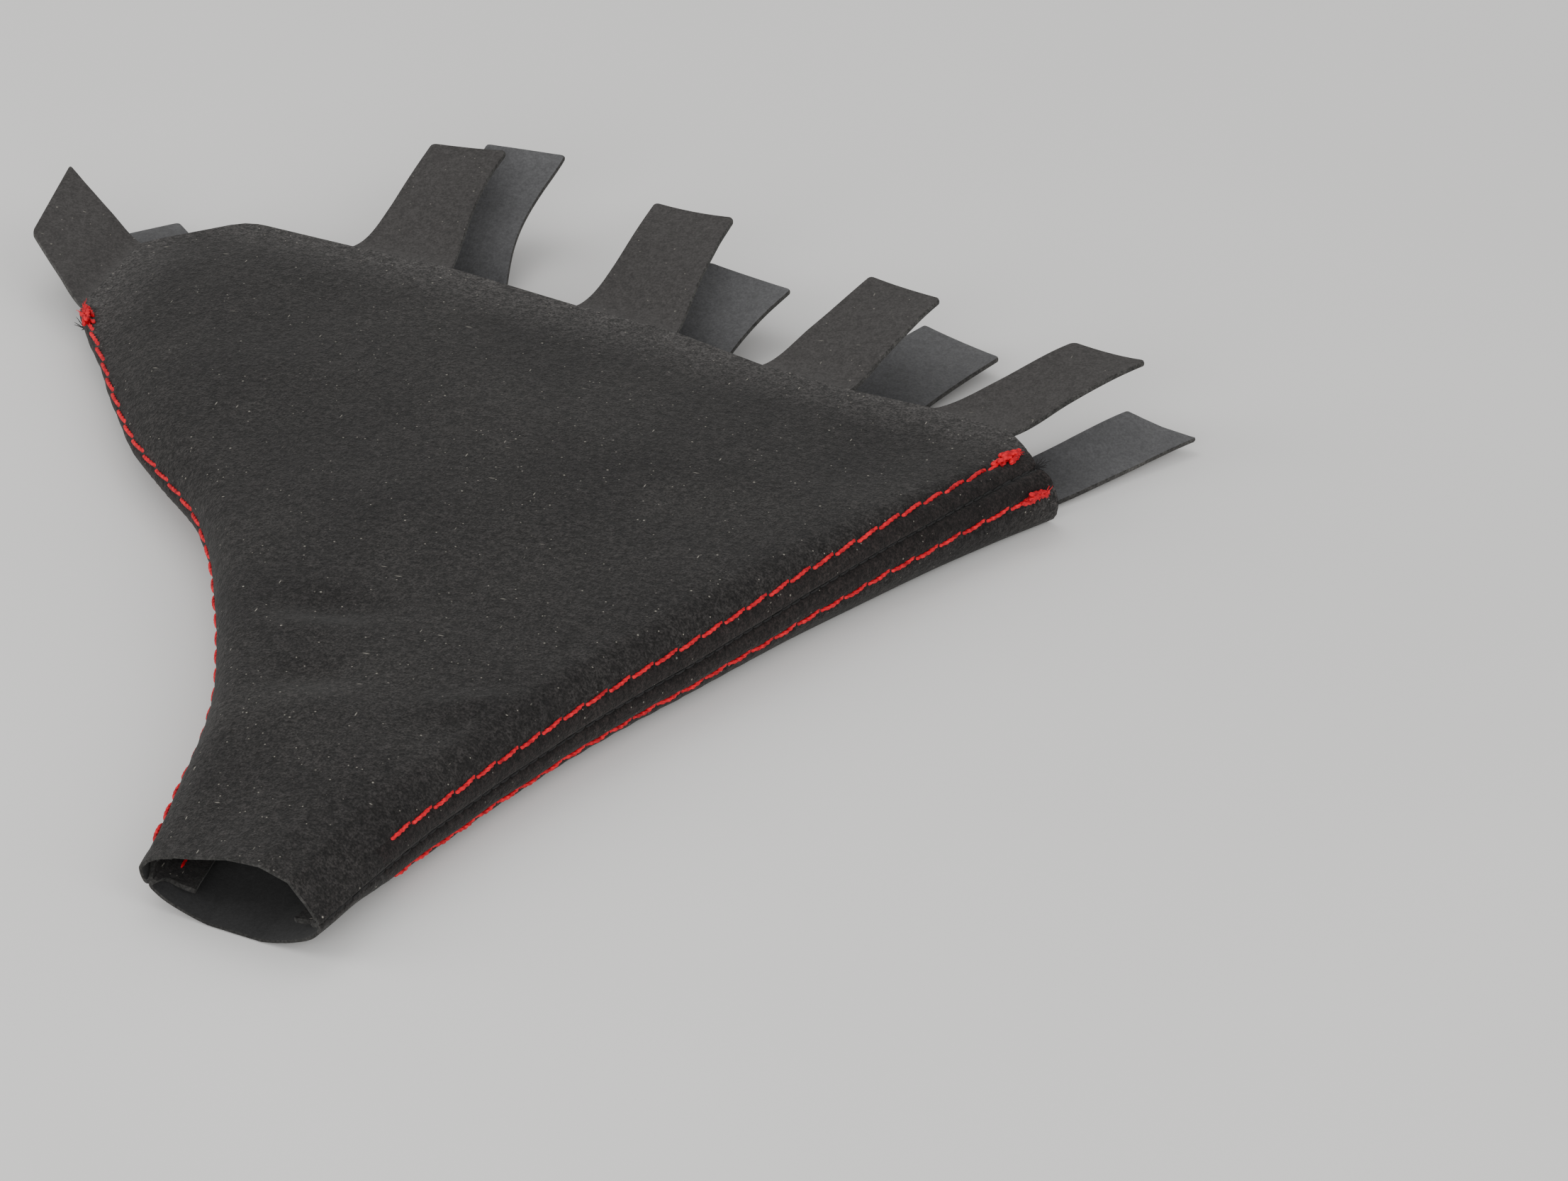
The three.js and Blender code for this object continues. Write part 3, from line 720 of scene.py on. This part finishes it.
def build_panel(panel, name, replaced):
    """One cut panel with its two turned-in edges. Also gives its two layers, normals and mouth corners."""
    places = panel.places()
    r_out, r_in = FOLD_RADIUS, FOLD_RADIUS - SUEDE
    # Each fold, from the turned-in edge to the seam: distances from the seam and depths under the face.
    outer_fold = [(d, 2 * r_out) for d in TURNED_IN]
    inner_fold = [(d, r_out + r_in) for d in TURNED_IN]
    for t in np.radians(np.linspace(0, 180, FOLD_STEPS))[:-1]:
        outer_fold.append((r_out - r_out * math.sin(t), r_out + r_out * math.cos(t)))
        inner_fold.append((r_out - r_in * math.sin(t), r_out + r_in * math.cos(t)))
    loose = (1 - smooth(V / 0.1))[:, None]
    layers, first = [], len(outer_fold)
    for fold, face_depth in ((outer_fold, 0.0), (inner_fold, SUEDE)):
        cols = [("L", d) for d, _ in fold] + places + [("R", d) for d, _ in fold[::-1]]
        depth = [deep for _, deep in fold] + [face_depth] * len(places) + [deep for _, deep in fold[::-1]]
        points, normals = panel.grid(V, cols)
        deeper, deeper_normals = panel.grid(NECK_RECESS + (1 - NECK_RECESS) * V, cols)
        zeros = [0] * (len(cols) - 2 * len(TURNED_IN))
        turned_in = np.array(TURNED_IN + zeros + TURNED_IN[::-1])
        share = smooth(turned_in / 3.5)[None, :, None] * (1 - smooth((V - 0.3) / 0.3))[:, None, None]
        points = points * (1 - share) + deeper * share
        normals = normals * (1 - share) + deeper_normals * share
        depth = np.array(depth)[None, :] * np.ones((len(V), 1))
        depth = depth + loose * (turned_in / ALLOWANCE)[None, :] ** 2 * LOOSE_AT_NECK
        if fold is inner_fold:
            face = slice(first, first + len(places))
            depth[:, face] = depth[:, face] - RIM_THINNED * SUEDE * (1 - smooth(V / 0.03))[:, None]
        layers.append(points - normals * depth[..., None])
    outer, inner = layers
    outer_cols = [("L", d) for d, _ in outer_fold] + places + [("R", d) for d, _ in outer_fold[::-1]]
    near_seam = [c[0] != "M" and c[1] <= ROW_OFFSET + (c[0] == "R") * 0.01 for c in outer_cols]
    rubbed = (V > 0.1)[:, None] & np.array(near_seam)[None, :]
    obj = closed_sheet(name, outer, inner, SKIN, flip=not panel.front, rubbed=rubbed)
    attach(obj, "sleeve")
    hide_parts(*replaced)
    found = [first + c for c in panel.corner_columns(places)]
    _, normals = panel.grid(V, outer_cols)
    return obj, outer, inner, normals, found


FRONT, BACK = Panel(True), Panel(False)
front, f_outer, f_inner, f_normals, f_corners = build_panel(
    FRONT, "front_suede", ("front_panel", "left_front_allowance", "right_front_allowance")
)
back, b_outer, b_inner, b_normals, b_corners = build_panel(
    BACK, "back_suede", ("back_panel", "left_back_allowance", "right_back_allowance")
)


# ------------------------------------------------------------------------ tabs

# How many rows of points a tab has, and the distances from its tip of those that round its corners.
TAB_ROWS = 40
TIP_ROWS = [0.15, 0.4, 0.8, 1.25, 1.7]


def tab_grid(outer, inner, normals, first, last, tip):
    """The two layers of a tab from a panel's columns first to last, and the middle of its root."""
    left_tip, right_tip, cup, curl, bow = np.array(tip[0], float), np.array(tip[1], float), *tip[2:]
    root_out, root_in, n0 = (layer[-1, first : last + 1] for layer in (outer, inner, normals))
    share = np.linalg.norm(root_out - root_out[0], axis=1)
    share = share / share[-1]
    q = 2 * share - 1
    root_line = root_out[-1] - root_out[0]
    half_root = np.linalg.norm(root_line) / 2
    x0 = root_line / (2 * half_root)
    middle = (root_out[0] + root_out[-1]) / 2
    end = (left_tip + right_tip) / 2
    half_tip = np.linalg.norm(right_tip - left_tip) / 2
    x1 = (right_tip - left_tip) / (2 * half_tip)
    chord = end - middle
    length = np.linalg.norm(chord)
    mean_n = n0.mean(0)
    # The middle line is a cubic from the root to the tip, which ends the more downwards the more it curls.
    m1 = chord.copy()
    m1[2] -= curl * 2
    t = np.unique(np.r_[np.linspace(0, 1, TAB_ROWS), 1 - np.array(TIP_ROWS) / length])
    tt = t[:, None]
    centre = ((2 * tt**3 - 3 * tt**2 + 1) * middle + (tt**3 - 2 * tt**2 + tt) * chord
              + (-2 * tt**3 + 3 * tt**2) * end + (tt**3 - tt**2) * m1)
    wide = half_tip > STRAIGHT_SIDED
    turn = (t if wide else smooth(t / 0.6))[:, None]
    x = x0 * (1 - turn) + x1 * turn
    x /= np.linalg.norm(x, axis=1, keepdims=True)
    flare = np.clip(1 - t, 0, 1) if wide else np.clip(1 - t / 0.5, 0, 1) ** 2.2
    left_half = half_tip + (half_root - half_tip) * flare
    right_half = half_tip + (half_root - half_tip) * np.clip(1 - t / 0.8, 0, 1) ** 1.2
    from_tip = (1 - t) * length
    into_corner = np.clip(TIP_CORNER - from_tip, 0, None)
    corner = TIP_CORNER - np.sqrt(np.clip(TIP_CORNER**2 - into_corner**2, 0, None))
    left_half, right_half = left_half - corner, right_half - corner
    half = np.where(q[None, :] < 0, left_half[:, None], right_half[:, None])
    offset = q[None, :] * half
    offset = offset + (bow * np.sin(np.pi * t) ** 1.3)[:, None]
    points = centre[:, None, :] + x[:, None, :] * offset[..., None]
    ahead = np.gradient(points, t, axis=0)
    side = np.cross(x[:, None, :], ahead)
    side /= np.linalg.norm(side, axis=-1, keepdims=True)
    lift = cup * (q[None, :] ** 2 - 0.3) * smooth(t / 0.5)[:, None]
    lift = lift + 0.15 * np.sin(3.1 * t[:, None] * 2 + q[None, :] * 1.3 + curl * 5) * smooth(t / 0.4)[:, None]
    points = points + side * lift[..., None]
    # The tab leaves the panel in the panel's own plane, and starts from the panel's own last points.
    off = -np.einsum("cj,cj->c", ahead[0], n0)[:, None] * n0
    fade = (t * np.clip(1 - t / 0.4, 0, 1) ** 2)[:, None, None]
    points = points + fade * off[None]
    ahead = np.gradient(points, t, axis=0)
    across = np.gradient(points, axis=1)
    n = np.cross(across, ahead)
    n /= np.linalg.norm(n, axis=-1, keepdims=True)
    if mean_n[2] < 0:
        n = -n
    under = points - n * SUEDE
    fix = (np.clip(1 - t / 0.3, 0, 1) ** 2)[:, None, None]
    points = points + fix * (root_out - points[0])[None]
    under = under + fix * (root_in - under[0])[None]
    low = np.clip(FLOOR_GAP - np.minimum(points[..., 2], under[..., 2]), 0, None)
    points[..., 2] += low
    under[..., 2] += low
    return points, under, middle


# A distance out from each tab's root, in millimetres; the two points worked out from it are not used.
TAB_BEND = 7
for side, data, tips in (
    ("front", (f_outer, f_inner, f_normals, f_corners), FRONT_TIPS),
    ("back", (b_outer, b_inner, b_normals, b_corners), BACK_TIPS),
):
    outer, inner, normals, corners = data
    for number, at in TAB_CORNERS.items():
        name = f"{side}_tab_{number}"
        span = (corners[at], corners[at + 1])
        points, under, middle = tab_grid(outer, inner, normals, *span, tips[number])
        obj = closed_sheet(name + "_suede", points, under, TAB_SKIN, flip=side == "back")
        root = points[0, -1] - points[0, 0]
        outward = np.cross([0, 0, 1.0], root)
        outward /= np.linalg.norm(outward)
        start = to_frame(middle)
        stop = to_frame(middle + outward * TAB_BEND)
        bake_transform(obj)
        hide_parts(name)


# --------------------------------------------------------------------- threads

# A thread's clearance over the floor, how deep the grooves between its plies are, and their twist per mm.
THREAD_GAP = 0.1
PLY_DEPTH = 0.27
PLY_TWIST = 2 * np.pi / 1.35


def tube(path, up, radius, sides, lobes, twist, taper):
    """Points and faces of a closed tube along path; lobes and twist give it plies."""
    path, up = np.array(path, float), np.array(up, float)
    ahead = np.gradient(path, axis=0)
    ahead /= np.linalg.norm(ahead, axis=1, keepdims=True)
    side = np.cross(ahead, up)
    side /= np.linalg.norm(side, axis=1, keepdims=True)
    over = np.cross(side, ahead)
    run = np.r_[0, np.cumsum(np.linalg.norm(np.diff(path, axis=0), axis=1))]
    ends = np.minimum(run, run[-1] - run)
    size = radius * (1 - (1 - np.clip(ends / taper, 0, 1)) ** 2 * 0.6)
    turn = np.linspace(0, 2 * np.pi, sides, endpoint=False)
    phase = run[:, None] * twist
    path[:, 2] = np.maximum(path[:, 2], size + THREAD_GAP)
    r = size[:, None] * (1 + (PLY_DEPTH * np.cos(lobes * turn[None, :] - phase) if lobes else 0))
    ring = (path[:, None, :] + over[:, None, :] * (r * np.cos(turn))[..., None]
            + side[:, None, :] * (r * np.sin(turn))[..., None])
    points = ring.reshape(-1, 3)
    faces = []
    n = len(path)
    for i in range(n - 1):
        for k in range(sides):
            a, b = i * sides + k, i * sides + (k + 1) % sides
            faces.append((a, a + sides, b + sides, b))
    faces.append(tuple(range(sides)))
    faces.append(tuple((n - 1) * sides + k for k in range(sides))[::-1])
    return points, faces


def joined(name, parts, mat):
    """One object from several meshes."""
    points, faces, start = [], [], 0
    for p, f in parts:
        points.append(p)
        faces += [tuple(start + i for i in face) for face in f]
        start += len(p)
    return new_object(name, np.vstack(points), faces, [mat])


def row_frame(panel, place, v):
    """Points, normals and sideways directions along a row of stitches."""
    points, normals = panel.grid(np.asarray(v, float), [place])
    points, normals = points[:, 0], normals[:, 0]
    ahead = np.gradient(points, axis=0)
    ahead /= np.linalg.norm(ahead, axis=1, keepdims=True)
    side = np.cross(normals, ahead)
    side /= np.linalg.norm(side, axis=1, keepdims=True)
    return points, normals, side


# The share of each stitch's pitch that is left free at either end, under the suede.
STITCH_MARGIN = 0.06


def stitches(panel, place, start, stop, depth, radius, slant, pitch=PITCH, lift=0.34, dip=-0.55, detail=26,
             lobes=3):
    """A row of stitches, each rising out of the suede and dipping back into it."""
    count = round((stop - start) * SEAM_LENGTH / pitch)
    first = math.ceil(start * SEAM_LENGTH / pitch)
    detail = detail
    length = count * pitch / SEAM_LENGTH
    v = np.linspace(0, 1, count * detail + 1) * length + first * pitch / SEAM_LENGTH
    v = np.clip(v, 0, 1)
    points, normals, side = row_frame(panel, place, v)
    parts = []
    for i in range(count):
        at = slice(i * detail, (i + 1) * detail + 1)
        s = STITCH_MARGIN + (1 - 2 * STITCH_MARGIN) * np.linspace(0, 1, detail + 1)
        wob = rng.normal(0, 0.05, 2)
        rise = dip + (lift - dip) * np.sin(np.pi * s) ** 0.5
        path = points[at] + normals[at] * (rise - depth + wob[0] * 0.5)[:, None]
        path = path + side[at] * (slant * (s - 0.5) + wob[1])[:, None]
        parts.append(tube(path, normals[at], radius, 12 if lobes else 6, lobes, PLY_TWIST, 0.7))
    return parts


def add_thread(name, parts, mat, node):
    obj = joined(name, parts, mat)
    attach(obj, "sleeve")
    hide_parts(node)


def strands(origin, ahead, up, count, length, radius, spread):
    """Loose fibres that leave a thread's end."""
    parts = []
    ahead, up = ahead / np.linalg.norm(ahead), up / np.linalg.norm(up)
    side = np.cross(ahead, up)
    for _ in range(count):
        a, b = rng.normal(0, spread, 2)
        way = ahead + side * a + up * b * 0.7
        way /= np.linalg.norm(way)
        bend = side * rng.normal(0, spread) + up * rng.normal(0, spread * 0.7)
        s = np.linspace(0, 1, 8)[:, None]
        size = length * rng.uniform(0.5, 1.1)
        path = origin + way * s * size + bend * s**2 * size * 0.6
        parts.append(tube(path, np.tile(up + 0.01, (8, 1)), radius, 5, 0, 0, size * 0.6))
    return parts


# How much further from its seam the left front row shows.
LEFT_ROW_SHIFT = 0.8
# A knot lies over this share of the seam, in steps, as thread run back and forth up to the last step used.
KNOT_SPAN = (0.945, 0.993)
KNOT_STEPS = 48
KNOT_END = 45
KNOT_RUNS = 9
# Where each side's rows start and stop, as shares of the seam.
ROW_SPANS = {"left": (0.012, ROWS_END), "right": (0.1, ROWS_END)}
for side_name, letter in (("left", "L"), ("right", "R")):
    for face_name, panel in (("front", FRONT), ("back", BACK)):
        start, stop = ROW_SPANS[side_name]
        shown_left = side_name == "left" and face_name == "front"
        place = (letter, ROW_OFFSET + LEFT_ROW_SHIFT * shown_left)
        label = f"{side_name}_{face_name}"
        sunk = 0.1 if side_name == "left" else 0.0
        row = stitches(panel, place, start, stop, depth=sunk, radius=0.35, slant=0.8)
        add_thread(label + "_stitches", row, RED, label + "_topstitch")
        add_thread(label + "_bobbin_stitches",
                   stitches(panel, place, start, 0.93, depth=2 * SUEDE + 0.9, radius=0.3, lift=0.0, dip=0.25,
                            slant=0.2, detail=8, lobes=0),
                   RED, label + "_bobbin_thread")
        points, normals, across = row_frame(panel, place, np.linspace(*KNOT_SPAN, KNOT_STEPS))
        ahead = points[-1] - points[0]
        ahead /= np.linalg.norm(ahead)
        parts = []
        for k in range(KNOT_RUNS):
            low = int(rng.integers(6, 24))
            high = min(low + int(rng.integers(14, 24)), KNOT_END)
            s = np.linspace(0, 1, 26)
            index = np.linspace(low, high, 26)
            at = index.round().astype(int)
            spread = 0.6 + 0.4 * index / KNOT_END
            swing = rng.normal(0, 0.9, 2)
            base = np.stack([np.interp(index, np.arange(KNOT_STEPS), points[:, j]) for j in range(3)], 1)
            rise = 0.1 + 0.15 * k + 0.35 * np.sin(np.pi * s) ** 0.6
            path = base + normals[at] * rise[:, None]
            path = path + across[at] * ((swing[0] + (swing[1] - swing[0]) * s) * spread)[:, None]
            parts.append(tube(path, normals[at], 0.4, 12, 3, PLY_TWIST, 0.5))
        for k in (30, 40):
            way = ahead + across[k] * rng.normal(0, 0.6)
            parts += strands(points[k] + normals[k] * 0.8, way, normals[k], 7, 1.7, 0.09, 0.7)
        add_thread(label + "_knot", parts, RED, label + "_back_tack")
    parts = stitches(FRONT, (letter, 0.0), 0.01, 0.985, depth=0.55, radius=0.26, slant=0.15, pitch=3.0,
                     lift=0.2, dip=-0.3, detail=8, lobes=0)
    points, normals, across = row_frame(FRONT, (letter, 0.0), np.linspace(0.95, 1, 12))
    parts += strands(points[-2], points[-1] - points[-3], normals[-2], 14, 3.6, 0.1, 0.45)
    add_thread(f"{side_name}_seam_stitches", parts, BLACK, f"{side_name}_seam_thread")


# ------------------------------------------------------------ floor, light, camera

floor_mat, nodes, links, shader = material("floor")
coords = nodes.new("ShaderNodeTexCoord").outputs["Object"]
tone = ramp(nodes, links, noise(nodes, links, coords, 3, 3).outputs["Fac"],
            [(0.3, linear((222, 221, 219))), (0.7, linear((230, 229, 227)))])
links.new(tone.outputs["Color"], shader.inputs["Base Color"])
shader.inputs["Roughness"].default_value = 0.8
bpy.ops.mesh.primitive_plane_add(size=8, location=(0, 0, -0.0002))
floor = bpy.context.object
floor.name = "floor"
floor.data.materials.append(floor_mat)


def lamp(name, place, size, power):
    """A soft square lamp aimed at the middle of the object."""
    data = bpy.data.lights.new(name, "AREA")
    data.shape = "RECTANGLE"
    data.size, data.size_y = size
    data.energy = power
    obj = bpy.data.objects.new(name, data)
    bpy.context.scene.collection.objects.link(obj)
    obj.location = place
    obj.rotation_euler = (-Vector(place)).to_track_quat("-Z", "Y").to_euler()


lamp("soft_top", (-0.5, 0.6, 1.4), (1.2, 0.9), 5)
lamp("soft_left", (-1.3, -0.5, 0.7), (0.9, 0.9), 8)
lamp("soft_right", (1.2, -0.7, 0.8), (0.9, 0.9), 7)
lamp("soft_front", (0.2, -1.6, 0.7), (1.6, 0.7), 16)
world = bpy.data.worlds.new("studio")
world.use_nodes = True
world.node_tree.nodes["Background"].inputs["Color"].default_value = (1, 1, 1, 1)
world.node_tree.nodes["Background"].inputs["Strength"].default_value = 0.66
bpy.context.scene.world = world

lens = bpy.data.cameras.new("camera")
lens.lens = 178.2
lens.sensor_width = 36
lens.sensor_fit = "HORIZONTAL"
camera = bpy.data.objects.new("camera", lens)
bpy.context.scene.collection.objects.link(camera)
camera.location = (0.4663, -1.2341, 0.7386)
aim = Vector((0.0694, 0.0096, 0.0))
camera.rotation_euler = (aim - camera.location).to_track_quat("-Z", "Y").to_euler()
bpy.context.scene.camera = camera
